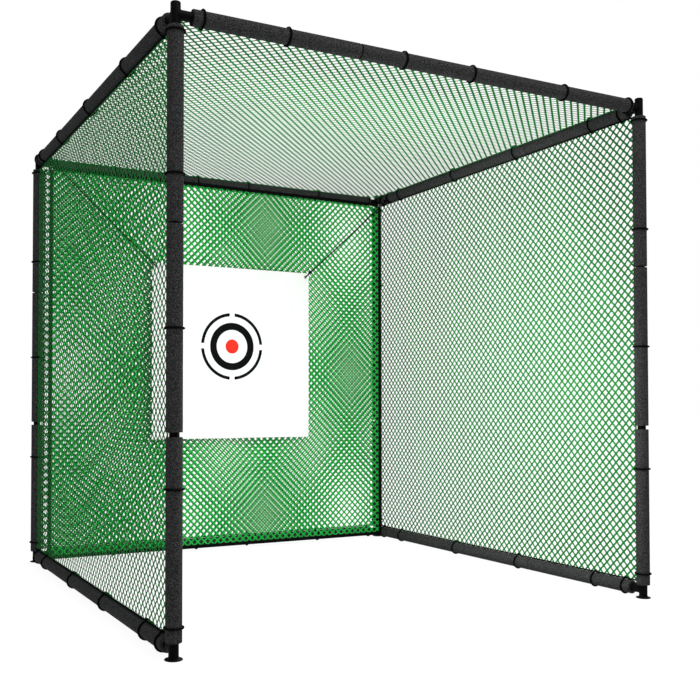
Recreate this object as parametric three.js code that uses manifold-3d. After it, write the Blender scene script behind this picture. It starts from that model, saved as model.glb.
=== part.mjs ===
// A free-standing golf practice cage: a cube of sleeved steel tube, closed with netting on the back,
// the sides and the roof, open at the front, with an inner impact net and a target sheet on two cords.
// Millimetres, +Z up, +X to the right of a player who looks along +Y into the open front.
// The origin is on the floor, under the middle of the cage.
import * as THREE from "three";
import { mergeVertices } from "three/addons/utils/BufferGeometryUtils.js";
import Module from "manifold-3d";

const wasm = await Module();
wasm.setup();

// Frame
const AXIS_SPAN = 2950; // between the axes of two posts, along X and along Y
const AXIS_RISE = 2890; // from the axis of a bottom rail to the axis of a top rail
const FOOT_RISE = 50; // from the floor to the axis of a bottom rail
const STUB_RISE = 58; // from the axis of a top rail to the cap of the corner above it
const CLEARANCE = 0.3; // between two pieces that touch

// Steel tube, in three sections to an edge, each pushed onto the spigot of the one before
const TUBE_RADIUS = 24;
const TUBE_WALL = 1.5;
const SPIGOT_LENGTH = 60;
const CORNER_ARM = 100; // from the corner's centre to the first tube
const SWAGE_DEPTH = 6; // where the bore narrows before a spigot

// Foam sleeve
const FOAM_RADIUS = 39;
const NECK_RADIUS = 26; // thin web that joins the sleeves of one edge
const POST_FOAM_INSETS = [28, 54]; // from the bottom and the top rail axis to the ends of a post's foam
const RAIL_FOAM_INSETS = [80, 80]; // from the post axes to the ends of a rail's foam
const POST_BREAKS = [22, 8]; // bare lengths between the sleeves, from the bottom up
const RAIL_BREAKS = [8, 3];

// Foot
const DISC_RADIUS = 42.5;
const DISC_THICKNESS = 5;
const FLARE_HEIGHT = 16;

// Nets
const NET_THICKNESS = 2;
const NET_GAP = 1.5; // between a net's edge and the sleeve beside it
const ROOF_LIFT = 28; // the roof net lies against the upper inner side of the foam
const IMPACT_HALF_WIDTH = 1425;
const IMPACT_TOP = 2895;
const IMPACT_BOTTOM = 32;
const IMPACT_FROM_BACK = 140; // in front of the axis of the back posts

// Target
const TARGET_SIZE = 1340;
const TARGET_BOTTOM = 888;
const TARGET_THICKNESS = 2;
const TARGET_FROM_BACK = 225;
const CORD_RADIUS = 5.5;
const CORD_STEPS = 24;
const CORD_SAG = 6; // how far the middle of a cord hangs below its straight line
const EYELET_INSET = 32; // from the edges of the sheet to an eyelet
const TIE_HEIGHT = 2915; // where the cords are tied to the top side rails
const TIE_HALF_WIDTH = 1437;

const SIDES = 12;
const HALF = AXIS_SPAN / 2;
const BOTTOM_AXIS = FOOT_RISE;
const TOP_AXIS = FOOT_RISE + AXIS_RISE;
const BORE_RADIUS = TUBE_RADIUS - TUBE_WALL;
const SPIGOT_RADIUS = BORE_RADIUS - CLEARANCE;
const SPIGOT_BORE = SPIGOT_RADIUS - TUBE_WALL;
const UP = new THREE.Vector3(0, 0, 1);

const steel = new THREE.MeshStandardMaterial({ color: 0x0d0d0e, roughness: 0.42, metalness: 0.5 });
const foam = new THREE.MeshStandardMaterial({ color: 0x2f2f31, roughness: 0.95, metalness: 0 });
const netting = new THREE.MeshStandardMaterial({ color: 0x22a83c, roughness: 0.7, metalness: 0 });
const impactNetting = new THREE.MeshStandardMaterial({ color: 0x14962e, roughness: 0.7, metalness: 0 });
const canvas = new THREE.MeshStandardMaterial({ color: 0xf2f2f0, roughness: 0.85, metalness: 0 });
const cordBlack = new THREE.MeshStandardMaterial({ color: 0x101010, roughness: 0.8, metalness: 0 });

// A solid of revolution about +Z. The outline is a list of [radius, height], counter-clockwise
// when the radius runs to the right and the height runs up.
function turned(outline) {
  const points = outline.map(([radius, height]) => new THREE.Vector2(radius, height));
  const first = outline[0];
  if (first[0] > 0) points.push(new THREE.Vector2(first[0], first[1]));
  return new THREE.LatheGeometry(points, SIDES).rotateX(Math.PI / 2);
}

function toSolid(geometry) {
  const bare = geometry.clone();
  bare.deleteAttribute("normal");
  bare.deleteAttribute("uv");
  const merged = mergeVertices(bare, 1e-3);
  return new wasm.Manifold(
    new wasm.Mesh({
      numProp: 3,
      vertProperties: merged.attributes.position.array,
      triVerts: new Uint32Array(merged.index.array),
    }),
  );
}

function toGeometry(solid) {
  const mesh = solid.getMesh();
  return new THREE.BufferGeometry()
    .setAttribute("position", new THREE.BufferAttribute(mesh.vertProperties, 3))
    .setIndex(new THREE.BufferAttribute(mesh.triVerts, 1));
}

function named(name, geometry, material) {
  const mesh = new THREE.Mesh(geometry, material);
  mesh.name = name;
  return mesh;
}

// One section of tube along +Z, with or without a spigot on its far end.
function tubeSection(length, hasSpigot) {
  if (!hasSpigot)
    return turned([
      [BORE_RADIUS, 0],
      [TUBE_RADIUS, 0],
      [TUBE_RADIUS, length],
      [BORE_RADIUS, length],
    ]);
  return turned([
    [BORE_RADIUS, 0],
    [TUBE_RADIUS, 0],
    [TUBE_RADIUS, length],
    [SPIGOT_RADIUS, length],
    [SPIGOT_RADIUS, length + SPIGOT_LENGTH],
    [SPIGOT_BORE, length + SPIGOT_LENGTH],
    [SPIGOT_BORE, length - SWAGE_DEPTH],
    [BORE_RADIUS, length - SWAGE_DEPTH],
  ]);
}

// The sleeves of one edge, drawn as one solid whose neck shows the breaks between them.
function foamRun(length, [start, end], breaks) {
  const bore = TUBE_RADIUS + CLEARANCE;
  const outline = [
    [bore, start],
    [FOAM_RADIUS, start],
  ];
  breaks.forEach((gap, i) => {
    const middle = (length * (i + 1)) / 3;
    outline.push([FOAM_RADIUS, middle - gap / 2], [NECK_RADIUS, middle - gap / 2]);
    outline.push([NECK_RADIUS, middle + gap / 2], [FOAM_RADIUS, middle + gap / 2]);
  });
  outline.push([FOAM_RADIUS, length - end], [bore, length - end]);
  return turned(outline);
}

// A post or a rail: three sections of tube and the foam over them, from one corner to the next.
function sleevedEdge({ name, from, to, sections, foamInsets, breaks }) {
  const group = new THREE.Group();
  const length = from.distanceTo(to);
  group.position.copy(from);
  group.quaternion.setFromUnitVectors(UP, to.clone().sub(from).normalize());
  const cuts = [CORNER_ARM, length / 3, (2 * length) / 3, length - CORNER_ARM];
  sections.forEach((section, i) => {
    const start = cuts[i] + CLEARANCE;
    const end = i === sections.length - 1 ? cuts[i + 1] - CLEARANCE : cuts[i + 1];
    const tube = tubeSection(end - start, i < sections.length - 1);
    const mesh = named(`${name}_tube_${section}`, tube, steel);
    mesh.position.z = start;
    group.add(mesh);
  });
  group.add(named(`${name}_foam`, foamRun(length, foamInsets, breaks), foam));
  return group;
}

// One arm of a corner, from its centre out along a direction: the body, or the bore inside it.
function armSolid(direction, outline) {
  const turn = new THREE.Quaternion().setFromUnitVectors(UP, direction);
  return toSolid(turned(outline).applyQuaternion(turn));
}

// A welded corner of tube. Each arm ends in a spigot that the first tube is pushed onto.
function cornerGeometry(directions, upright) {
  const end = CORNER_ARM + SPIGOT_LENGTH;
  const body = [
    [0, 0],
    [TUBE_RADIUS, 0],
    [TUBE_RADIUS, CORNER_ARM],
    [SPIGOT_RADIUS, CORNER_ARM],
    [SPIGOT_RADIUS, end],
    [0, end],
  ];
  const bore = [
    [0, 0],
    [SPIGOT_BORE, 0],
    [SPIGOT_BORE, end + 1],
    [0, end + 1],
  ];
  let solid = toSolid(turned(upright));
  for (const direction of directions) solid = solid.add(armSolid(direction, body));
  for (const direction of directions) solid = solid.subtract(armSolid(direction, bore));
  return toGeometry(solid);
}

// The stub that stands above the rails, closed by a rounded cap.
const STUB_OUTLINE = [
  [0, -TUBE_RADIUS],
  [TUBE_RADIUS, -TUBE_RADIUS],
  [TUBE_RADIUS, STUB_RISE - 6],
  [TUBE_RADIUS - 2, STUB_RISE - 2],
  [TUBE_RADIUS - 6, STUB_RISE],
  [0, STUB_RISE],
];

// The stem below the rails, flared into a round foot.
const FOOT_OUTLINE = [
  [0, -FOOT_RISE],
  [DISC_RADIUS, -FOOT_RISE],
  [DISC_RADIUS, DISC_THICKNESS - FOOT_RISE],
  [TUBE_RADIUS + 5, DISC_THICKNESS + 3 - FOOT_RISE],
  [TUBE_RADIUS, FLARE_HEIGHT - FOOT_RISE],
  [TUBE_RADIUS, TUBE_RADIUS],
  [0, TUBE_RADIUS],
];

function slab(name, size, centre, material) {
  const mesh = named(name, new THREE.BoxGeometry(...size), material);
  mesh.position.set(...centre);
  return mesh;
}

// A cord from its tie on a top side rail down to its eyelet, along a shallow arc.
function targetCord(name, side) {
  const sheetY = HALF - TARGET_FROM_BACK;
  const frontY = sheetY - TARGET_THICKNESS / 2 - CORD_RADIUS - 0.5;
  const eyeletX = TARGET_SIZE / 2 - EYELET_INSET;
  const tie = new THREE.Vector3(side * TIE_HALF_WIDTH, sheetY, TIE_HEIGHT);
  const eyelet = new THREE.Vector3(side * eyeletX, frontY, TARGET_BOTTOM + TARGET_SIZE - EYELET_INSET);
  const middle = tie.clone().lerp(eyelet, 0.5);
  middle.z -= 2 * CORD_SAG;
  const section = new THREE.Shape();
  section.absarc(0, 0, CORD_RADIUS, 0, 2 * Math.PI);
  const geometry = new THREE.ExtrudeGeometry(section, {
    extrudePath: new THREE.QuadraticBezierCurve3(tie, middle, eyelet),
    steps: CORD_STEPS,
    curveSegments: 8,
  });
  return named(name, geometry, cordBlack);
}

const cage = new THREE.Group();
const at = (sx, sy, z) => new THREE.Vector3(sx * HALF, sy * HALF, z);
const LEFT_RIGHT = [["left", -1], ["right", 1]];
const FRONT_BACK = [["front", -1], ["back", 1]];
const BOTTOM_TOP = [["bottom", BOTTOM_AXIS], ["top", TOP_AXIS]];

for (const [depth, sy] of FRONT_BACK)
  for (const [side, sx] of LEFT_RIGHT)
    cage.add(
      sleevedEdge({
        name: `${depth}_${side}_post`,
        from: at(sx, sy, BOTTOM_AXIS),
        to: at(sx, sy, TOP_AXIS),
        sections: ["lower", "middle", "upper"],
        foamInsets: POST_FOAM_INSETS,
        breaks: POST_BREAKS,
      }),
    );

for (const [level, z] of BOTTOM_TOP) {
  for (const [side, sx] of LEFT_RIGHT)
    cage.add(
      sleevedEdge({
        name: `${level}_${side}_rail`,
        from: at(sx, -1, z),
        to: at(sx, 1, z),
        sections: ["front", "middle", "back"],
        foamInsets: RAIL_FOAM_INSETS,
        breaks: RAIL_BREAKS,
      }),
    );
  for (const [depth, sy] of FRONT_BACK) {
    if (level === "bottom" && depth === "front") continue; // the player walks in here
    cage.add(
      sleevedEdge({
        name: `${level}_${depth}_rail`,
        from: at(-1, sy, z),
        to: at(1, sy, z),
        sections: ["left", "middle", "right"],
        foamInsets: RAIL_FOAM_INSETS,
        breaks: RAIL_BREAKS,
      }),
    );
  }
}

for (const [level, z] of BOTTOM_TOP)
  for (const [depth, sy] of FRONT_BACK)
    for (const [side, sx] of LEFT_RIGHT) {
      const isTop = level === "top";
      const directions = [new THREE.Vector3(0, 0, isTop ? -1 : 1), new THREE.Vector3(0, -sy, 0)];
      if (isTop || depth === "back") directions.push(new THREE.Vector3(-sx, 0, 0));
      const geometry = cornerGeometry(directions, isTop ? STUB_OUTLINE : FOOT_OUTLINE);
      const mesh = named(`${level}_${depth}_${side}_corner`, geometry, steel);
      mesh.position.copy(at(sx, sy, z));
      cage.add(mesh);
    }

const netSpan = AXIS_SPAN - 2 * (FOAM_RADIUS + NET_GAP);
const netRise = AXIS_RISE - 2 * (FOAM_RADIUS + NET_GAP);
const roofUnderside = ROOF_LIFT - NET_THICKNESS / 2;
const roofSpan = AXIS_SPAN - 2 * Math.sqrt((FOAM_RADIUS + NET_GAP) ** 2 - roofUnderside ** 2);
const netMiddle = (BOTTOM_AXIS + TOP_AXIS) / 2;
for (const [side, sx] of LEFT_RIGHT)
  cage.add(slab(`${side}_net`, [NET_THICKNESS, netSpan, netRise], [sx * HALF, 0, netMiddle], netting));
cage.add(slab("back_net", [netSpan, NET_THICKNESS, netRise], [0, HALF, netMiddle], netting));
cage.add(slab("roof_net", [roofSpan, roofSpan, NET_THICKNESS], [0, 0, TOP_AXIS + ROOF_LIFT], netting));

const impactNet = new THREE.Group();
impactNet.add(
  slab(
    "impact_net",
    [2 * IMPACT_HALF_WIDTH, NET_THICKNESS, IMPACT_TOP - IMPACT_BOTTOM],
    [0, HALF - IMPACT_FROM_BACK, (IMPACT_TOP + IMPACT_BOTTOM) / 2],
    impactNetting,
  ),
);
cage.add(impactNet);

const target = new THREE.Group();
target.add(
  slab(
    "target_sheet",
    [TARGET_SIZE, TARGET_THICKNESS, TARGET_SIZE],
    [0, HALF - TARGET_FROM_BACK, TARGET_BOTTOM + TARGET_SIZE / 2],
    canvas,
  ),
);
for (const [side, sx] of LEFT_RIGHT) target.add(targetCord(`target_cord_${side}`, sx));
cage.add(target);

export default cage;
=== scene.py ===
"""Visual model of a walk-in golf practice cage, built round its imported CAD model.

The cage is a cube of sleeved steel tube. Nets close its back, its sides and its roof, a second net hangs
inside the back, and a printed target sheet hangs in front of that on two cords. Metres, +Z up, and the
player looks along +Y.
"""

import logging
import math
from collections.abc import Iterable, Sequence
from dataclasses import dataclass, field
from enum import Enum

import bmesh
import bpy
from mathutils import Matrix, Vector, noise


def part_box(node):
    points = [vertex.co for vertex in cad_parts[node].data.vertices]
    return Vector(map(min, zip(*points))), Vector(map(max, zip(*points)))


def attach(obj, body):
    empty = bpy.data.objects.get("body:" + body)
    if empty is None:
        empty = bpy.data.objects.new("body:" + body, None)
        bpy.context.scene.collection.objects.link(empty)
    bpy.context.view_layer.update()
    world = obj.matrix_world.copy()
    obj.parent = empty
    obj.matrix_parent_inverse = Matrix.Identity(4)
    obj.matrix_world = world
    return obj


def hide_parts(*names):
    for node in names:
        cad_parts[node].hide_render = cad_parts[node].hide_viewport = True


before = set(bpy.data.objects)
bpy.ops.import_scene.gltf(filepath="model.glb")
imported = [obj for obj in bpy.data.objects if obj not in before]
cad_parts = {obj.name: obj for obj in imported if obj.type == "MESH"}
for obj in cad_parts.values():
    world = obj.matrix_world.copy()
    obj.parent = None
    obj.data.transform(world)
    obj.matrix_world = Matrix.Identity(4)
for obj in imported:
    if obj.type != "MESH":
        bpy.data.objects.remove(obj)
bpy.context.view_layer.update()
ROOT = "root"
LEFT_RIGHT = (("left", -1), ("right", 1))
UP = Vector((0.0, 0.0, 1.0))
# The way into the cage from each of its faces.
INTO = {
    "left": Vector((1.0, 0.0, 0.0)), "right": Vector((-1.0, 0.0, 0.0)),
    "front": Vector((0.0, 1.0, 0.0)), "back": Vector((0.0, -1.0, 0.0)),
    "bottom": UP.copy(), "top": -UP,
}
# Parts that touch are set this far apart.
CLEARANCE = 0.0004
# Corners of a mesh that lie nearer than this become one.
TIGHT = 1e-6

Pair = tuple[float, float]
Triple = tuple[float, float, float]
Mesh = bmesh.types.BMesh
Piece = bpy.types.Object
Socket = bpy.types.NodeSocket

log = logging.getLogger("practice_cage")


# ---------------------------------------------------------------------------
# Finishes
# ---------------------------------------------------------------------------


class NodeGraph:
    """A material's node tree, with short calls for the nodes that the finishes share."""

    def __init__(self, name: str, roughness: float, specular: float = 0.5) -> None:
        """Starts a material round one Principled shader.

        Args:
            name: the material's name.
            roughness: the shader's roughness.
            specular: the shader's specular level.
        """
        self.material = bpy.data.materials.new(name)
        self.material.use_nodes = True
        self.tree = self.material.node_tree
        self.shader = self.tree.nodes["Principled BSDF"]
        self.shader.inputs["Roughness"].default_value = roughness
        self.shader.inputs["Specular IOR Level"].default_value = specular
        self.place = self.node("ShaderNodeTexCoord").outputs["Object"]

    def node(self, kind: str, values: dict | None = None, **settings: object) -> bpy.types.Node:
        """Adds a node.

        Args:
            kind: the node's type.
            values: input names or numbers, each with a number, a colour or a socket to link.
            settings: properties of the node itself.

        Returns:
            The new node.
        """
        made = self.tree.nodes.new(kind)
        for name, value in settings.items():
            setattr(made, name, value)
        for key, value in (values or {}).items():
            if isinstance(value, Socket):
                self.tree.links.new(value, made.inputs[key])
            else:
                made.inputs[key].default_value = (*value, 1.0) if isinstance(value, tuple) else value
        return made

    def math(self, operation: str, first: object, second: object = 0.0) -> Socket:
        """One Math node on numbers or sockets; returns its result."""
        return self.node("ShaderNodeMath", {0: first, 1: second}, operation=operation).outputs[0]

    def noise(self, scale: float, detail: float = 3.0, roughness: float = 0.5) -> Socket:
        """Noise on the piece's own coordinates; returns its value."""
        values = {"Vector": self.place, "Scale": scale, "Detail": detail, "Roughness": roughness}
        return self.node("ShaderNodeTexNoise", values).outputs["Fac"]

    def ramp(self, value: Socket, *stops: tuple[float, tuple]) -> Socket:
        """A colour ramp.

        Args:
            value: the socket that picks the colour.
            stops: each stop's place and linear red, green and blue.

        Returns:
            The colour socket.
        """
        made = self.node("ShaderNodeValToRGB", {"Fac": value})
        points = made.color_ramp.elements
        while len(points) < len(stops):
            points.new(1.0)
        for point, (place, colour) in zip(points, stops):
            point.position = place
            point.color = (*colour, 1.0)
        return made.outputs["Color"]

    def mix(self, share: object, first: object, second: object) -> Socket:
        """Mixes two colours by a share and returns the colour."""
        return self.node("ShaderNodeMix", {0: share, 6: first, 7: second}, data_type="RGBA").outputs[2]

    def ribs(self, scale: float, distortion: float = 0.0) -> list[Socket]:
        """Fine waves along X and along Z.

        Args:
            scale: how fine they are.
            distortion: how much they wander.

        Returns:
            The two values.
        """
        values = {"Vector": self.place, "Scale": scale, "Distortion": distortion}
        return [self.node("ShaderNodeTexWave", values, bands_direction=way).outputs["Fac"] for way in "XZ"]

    def bump(self, height: Socket, distance: float, strength: float = 1.0) -> None:
        """Adds a height to the shader's normal.

        Args:
            height: the height socket, from 0 to 1.
            distance: the depth in metres of a whole unit of height.
            strength: how much of it shows.
        """
        values = {"Height": height, "Distance": distance, "Strength": strength}
        normal = self.shader.inputs["Normal"]
        if normal.is_linked:
            values["Normal"] = normal.links[0].from_socket
        self.tree.links.new(self.node("ShaderNodeBump", values).outputs["Normal"], normal)

    def link(self, value: Socket, name: str) -> None:
        """Links a socket to one of the shader's inputs."""
        self.tree.links.new(value, self.shader.inputs[name])


@dataclass(frozen=True)
class FoamFinish:
    """Closed-cell foam: dull, nearly black, with a salt and pepper grain."""

    dark: Triple = (0.012, 0.012, 0.0122)
    light: Triple = (0.084, 0.084, 0.085)
    grain: float = 170.0
    cells: float = 420.0

    def material(self) -> bpy.types.Material:
        """Makes the material.

        Returns:
            The foam material.
        """
        graph = NodeGraph("closed_cell_foam", roughness=0.95, specular=0.06)
        grain = graph.noise(self.grain, detail=6.0, roughness=0.75)
        graph.link(graph.ramp(grain, (0.44, self.dark), (0.64, self.light)), "Base Color")
        cells = graph.node("ShaderNodeTexVoronoi", {"Vector": graph.place, "Scale": self.cells})
        graph.bump(cells.outputs["Distance"], distance=0.0006, strength=0.6)
        graph.bump(grain, distance=0.0012, strength=0.5)
        return graph.material


@dataclass(frozen=True)
class PaintedSteelFinish:
    """Black powder coat on steel, slightly pebbled, rubbed a little brighter in places."""

    name: str = "powder_coated_steel"
    base: Triple = (0.0020, 0.0020, 0.0022)
    rubbed: Triple = (0.0055, 0.0055, 0.006)
    roughness: float = 0.50

    def material(self) -> bpy.types.Material:
        """Makes the material.

        Returns:
            The powder-coat material.
        """
        graph = NodeGraph(self.name, roughness=self.roughness, specular=0.035)
        wear = graph.noise(34.0, detail=5.0, roughness=0.6)
        graph.link(graph.ramp(wear, (0.45, self.base), (0.75, self.rubbed)), "Base Color")
        limits = {"To Min": self.roughness - 0.06, "To Max": self.roughness + 0.1}
        rough = graph.node("ShaderNodeMapRange", {"Value": wear, **limits})
        graph.link(rough.outputs["Result"], "Roughness")
        graph.bump(graph.noise(620.0, detail=2.0), distance=0.00025, strength=0.5)
        return graph.material


@dataclass(frozen=True)
class NettingFinish:
    """Dyed polyester netting: a soft green that varies a little from strand to strand."""

    name: str
    deep: Triple
    bright: Triple

    def material(self) -> bpy.types.Material:
        """Makes the material.

        Returns:
            The netting material.
        """
        graph = NodeGraph(self.name, roughness=0.7, specular=0.06)
        patches = graph.noise(9.0, detail=4.0, roughness=0.6)
        graph.link(graph.ramp(patches, (0.3, self.deep), (0.7, self.bright)), "Base Color")
        graph.bump(graph.noise(520.0, detail=2.0), distance=0.0006, strength=0.7)
        return graph.material


@dataclass(frozen=True)
class BraidFinish:
    """A braided or woven black textile, with a fine crossed rib."""

    name: str
    base: Triple = (0.0016, 0.0016, 0.0018)
    crest: Triple = (0.0075, 0.0075, 0.008)
    rib: float = 130.0

    def material(self) -> bpy.types.Material:
        """Makes the material.

        Returns:
            The braid material.
        """
        graph = NodeGraph(self.name, roughness=0.8, specular=0.03)
        weave = graph.math("MULTIPLY", *graph.ribs(self.rib, distortion=0.6))
        graph.link(graph.ramp(weave, (0.1, self.base), (0.9, self.crest)), "Base Color")
        graph.bump(weave, distance=0.0005, strength=0.6)
        return graph.material


@dataclass(frozen=True)
class PlatedFinish:
    """Nickel plating on pressed brass, as on eyelets."""

    colour: Triple = (0.55, 0.55, 0.53)

    def material(self) -> bpy.types.Material:
        """Makes the material.

        Returns:
            The plating material.
        """
        graph = NodeGraph("nickel_plating", roughness=0.3)
        graph.shader.inputs["Metallic"].default_value = 1.0
        tarnish = graph.noise(180.0, detail=4.0)
        dull = tuple(0.7 * channel for channel in self.colour)
        graph.link(graph.ramp(tarnish, (0.3, dull), (0.65, self.colour)), "Base Color")
        return graph.material


@dataclass(frozen=True)
class TargetPrint:
    """White canvas with a bull's-eye printed on it: a dot, a heavy ring and a thin broken ring."""

    centre_x: float
    centre_z: float
    dot: float = 0.056
    ring_inner: float = 0.131
    ring_outer: float = 0.187
    halo: float = 0.250
    halo_width: float = 0.025
    halo_gap: float = 0.042
    canvas: Triple = (0.72, 0.72, 0.715)
    ink: Triple = (0.0025, 0.0025, 0.003)
    red: Triple = (0.66, 0.026, 0.015)
    weave: float = 190.0

    def band(self, graph: NodeGraph, value: Socket, middle: float, width: float) -> Socket:
        """1 where a value is within half a width of a middle, and 0 elsewhere."""
        off = graph.math("ABSOLUTE", graph.math("SUBTRACT", value, middle))
        return graph.math("LESS_THAN", off, width / 2)

    def material(self) -> bpy.types.Material:
        """Makes the material.

        Returns:
            The printed canvas material.
        """
        graph = NodeGraph("printed_canvas", roughness=0.8, specular=0.05)
        apart = graph.node("ShaderNodeSeparateXYZ", {"Vector": graph.place})
        across = graph.math("ABSOLUTE", graph.math("SUBTRACT", apart.outputs["X"], self.centre_x))
        upward = graph.math("ABSOLUTE", graph.math("SUBTRACT", apart.outputs["Z"], self.centre_z))
        reach = graph.math("SQRT", graph.math(
            "ADD", graph.math("POWER", across, 2.0), graph.math("POWER", upward, 2.0)))
        ring = self.band(graph, reach, (self.ring_inner + self.ring_outer) / 2,
                         self.ring_outer - self.ring_inner)
        halo = self.band(graph, reach, self.halo, self.halo_width)
        unbroken = graph.math("GREATER_THAN", graph.math("MINIMUM", across, upward), self.halo_gap / 2)
        inked = graph.math("MAXIMUM", ring, graph.math("MULTIPLY", halo, unbroken))
        dotted = graph.math("LESS_THAN", reach, self.dot)
        cloth = graph.noise(5.0, detail=5.0, roughness=0.6)
        shade = tuple(0.95 * channel for channel in self.canvas)
        plain = graph.ramp(cloth, (0.3, shade), (0.7, self.canvas))
        colour = graph.mix(dotted, graph.mix(inked, plain, self.ink), self.red)
        graph.link(colour, "Base Color")
        graph.bump(graph.math("ADD", *graph.ribs(self.weave)), distance=0.00025, strength=0.5)
        return graph.material


class Finish(Enum):
    """The finishes that pieces choose from."""

    TUBE = "frame_tube"
    CORNER = "corner_fitting"
    FOAM = "foam"
    NETTING = "netting"
    IMPACT_NETTING = "impact_netting"
    BORDER = "net_border"
    ELASTIC = "elastic_loop"
    CANVAS = "target_canvas"
    CORD = "target_cord"
    EYELET = "eyelet"


# ---------------------------------------------------------------------------
# Mesh helpers
# ---------------------------------------------------------------------------


@dataclass(frozen=True)
class Path:
    """A line that a round section follows, with the section's share of its radius at each point."""

    points: Sequence[Vector]
    closed: bool = False
    radii: Sequence[float] | None = None


def centre_of(node: str, axis: int) -> float:
    """The middle of a CAD node along one axis."""
    low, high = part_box(node)
    return (low[axis] + high[axis]) / 2


def turned_to(direction: Vector) -> Matrix:
    """Turns +Z to a direction."""
    return UP.rotation_difference(direction).to_matrix().to_4x4()


def moved(mesh: Mesh, matrix: Matrix) -> Mesh:
    """Moves a mesh by a matrix, and returns it."""
    bmesh.ops.transform(mesh, matrix=matrix, verts=mesh.verts)
    return mesh


def closed_up(mesh: Mesh) -> Mesh:
    """Merges a mesh's doubles and turns its faces outward.

    Args:
        mesh: the mesh, which is changed.

    Returns:
        The same mesh.
    """
    bmesh.ops.remove_doubles(mesh, verts=mesh.verts, dist=TIGHT)
    bmesh.ops.recalc_face_normals(mesh, faces=mesh.faces)
    return mesh


def rounding(radius: float, angles: Iterable[float]) -> list[Pair]:
    """How far a rounded edge stands back from its two faces, at each of some angles in degrees."""
    turns = [math.radians(angle) for angle in angles]
    return [(radius * (1 - math.sin(turn)), radius * (1 - math.cos(turn))) for turn in turns]


def spun(profile: Sequence[Pair], closed: bool = True, steps: int = 48) -> Mesh:
    """Spins an outline round +Z.

    Args:
        profile: radius and height of each corner of the outline, in order.
        closed: joins the last corner to the first, for a ring or a tube.
        steps: sides of the turned shape.

    Returns:
        The turned solid.
    """
    mesh = bmesh.new()
    corners = [mesh.verts.new((radius, 0.0, height)) for radius, height in profile]
    edges = [mesh.edges.new(pair) for pair in zip(corners, corners[1:])]
    if closed:
        edges.append(mesh.edges.new((corners[-1], corners[0])))
    bmesh.ops.spin(mesh, geom=corners + edges, cent=(0, 0, 0), axis=UP, dvec=(0, 0, 0),
                   angle=math.tau, steps=steps, use_merge=True, use_duplicate=False)
    return closed_up(mesh)


def tubing(name: str, paths: Iterable[Path], radius: float, resolution: int) -> Piece:
    """Makes a curve with a round section and capped ends.

    Args:
        name: the curve's name.
        paths: the lines to follow.
        radius: the section's radius.
        resolution: how finely the section is rounded.

    Returns:
        The curve, as an object in the scene.
    """
    curve = bpy.data.curves.new(name, "CURVE")
    curve.dimensions = "3D"
    curve.bevel_depth = radius
    curve.bevel_resolution = resolution
    curve.use_fill_caps = True
    for path in paths:
        spline = curve.splines.new("POLY")
        spline.points.add(len(path.points) - 1)
        spline.points.foreach_set("co", [n for point in path.points for n in (*point, 1.0)])
        if path.radii is not None:
            spline.points.foreach_set("radius", path.radii)
        spline.use_cyclic_u = path.closed
    piece = bpy.data.objects.new(name, curve)
    bpy.context.scene.collection.objects.link(piece)
    return piece


def swept(paths: Iterable[Path], radius: float, sides: int = 8) -> Mesh:
    """Sweeps a round section along each path, with its ends capped.

    Args:
        paths: the lines to follow.
        radius: the section's radius.
        sides: the section's sides, an even number from 4 up.

    Returns:
        One mesh of all the tubes.
    """
    holder = tubing("sweep", paths, radius, (sides - 4) // 2)
    curve = holder.data
    data = baked(holder)
    mesh = bmesh.new()
    mesh.from_mesh(data)
    bpy.data.objects.remove(holder)
    bpy.data.curves.remove(curve)
    bpy.data.meshes.remove(data)
    return closed_up(mesh)


def baked(piece: Piece) -> bpy.types.Mesh:
    """An object's mesh with its modifiers and bevel applied."""
    shown = piece.evaluated_get(bpy.context.evaluated_depsgraph_get())
    return bpy.data.meshes.new_from_object(shown)


def soften(data: bpy.types.Mesh, smooth_below: float = 40.0) -> None:
    """Shades a mesh smooth, apart from edges sharper than an angle in degrees."""
    data.shade_smooth()
    data.set_sharp_from_angle(angle=math.radians(smooth_below))


def standing(name: str, mesh: Mesh, smooth_below: float = 40.0) -> Piece:
    """Makes a mesh an object at the origin, smooth apart from its sharp edges.

    Args:
        name: the piece's name.
        mesh: its mesh, in place; it is freed.
        smooth_below: the angle in degrees under which an edge is smooth.

    Returns:
        The object.
    """
    data = bpy.data.meshes.new(name)
    mesh.to_mesh(data)
    mesh.free()
    soften(data, smooth_below)
    piece = bpy.data.objects.new(name, data)
    bpy.context.scene.collection.objects.link(piece)
    return piece


def hull_loop(circles: Sequence[Triple], steps: int) -> list[Pair]:
    """The tight loop round several circles in a plane.

    Args:
        circles: each circle's centre and radius.
        steps: points round the loop.

    Returns:
        The loop's points.
    """
    loop = []
    for step in range(steps):
        angle = math.tau * step / steps
        way = (math.cos(angle), math.sin(angle))
        x, y, radius = max(circles, key=lambda c: c[0] * way[0] + c[1] * way[1] + c[2])
        loop.append((x + radius * way[0], y + radius * way[1]))
    return loop


# ---------------------------------------------------------------------------
# Finished pieces
# ---------------------------------------------------------------------------


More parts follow.
